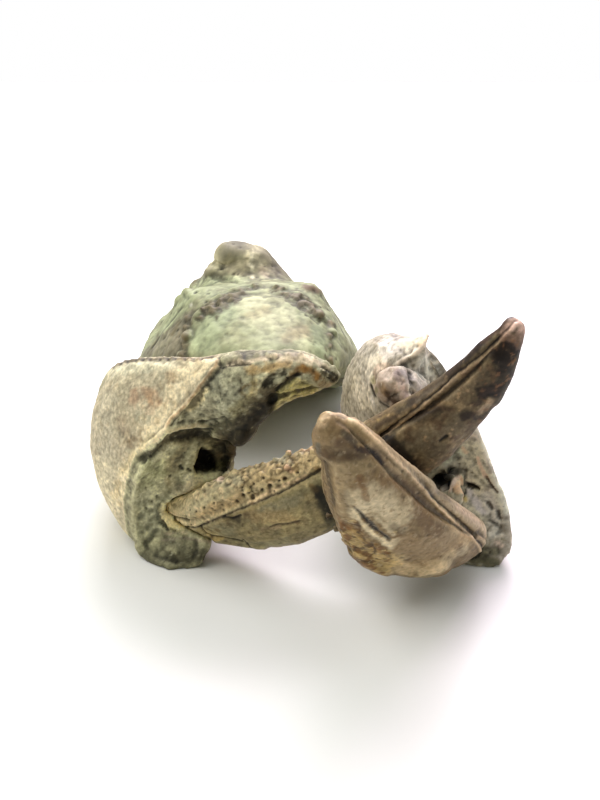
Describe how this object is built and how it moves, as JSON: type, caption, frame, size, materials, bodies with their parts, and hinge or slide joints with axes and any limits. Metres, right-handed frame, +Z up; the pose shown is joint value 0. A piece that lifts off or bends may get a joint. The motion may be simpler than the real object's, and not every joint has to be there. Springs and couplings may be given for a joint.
{
  "type": "fossil mud lobster",
  "caption": "Fossil mud lobster lying flat: a domed, ridged carapace behind heavy claws, whose long curved fingers cross in front. A display specimen.",
  "frame": {"origin": "centre of the overall bounding box, at the level that the fossil rests on", "axes": "+Z up; +Y from the claws back to the rear of the carapace; +X to the right as seen from the claws"},
  "size_m": [0.046, 0.0764, 0.0295],
  "materials": {
    "carapace": "dull grey-green fossil shell with dark brown crust",
    "left_palm": "granular cream fossil shell, grey-green on the mouth end",
    "left_dactyl": "ochre and grey-brown fossil shell, mottled dark towards the tip",
    "right_palm": "granular pale tan-grey fossil shell",
    "right_dactyl": "smooth pinkish-tan fossil shell with a slight sheen and rusty stains",
    "arms": "dull grey-olive fossil shell"
  },
  "bodies": {
    "root": {"carapace": "carapace", "left_palm": "left_palm", "left_dactyl": "left_dactyl", "left_wrist": "arms", "left_arm": "arms", "right_palm": "right_palm", "right_dactyl": "right_dactyl", "right_wrist": "arms", "right_arm": "arms"}
  },
  "joints": []
}
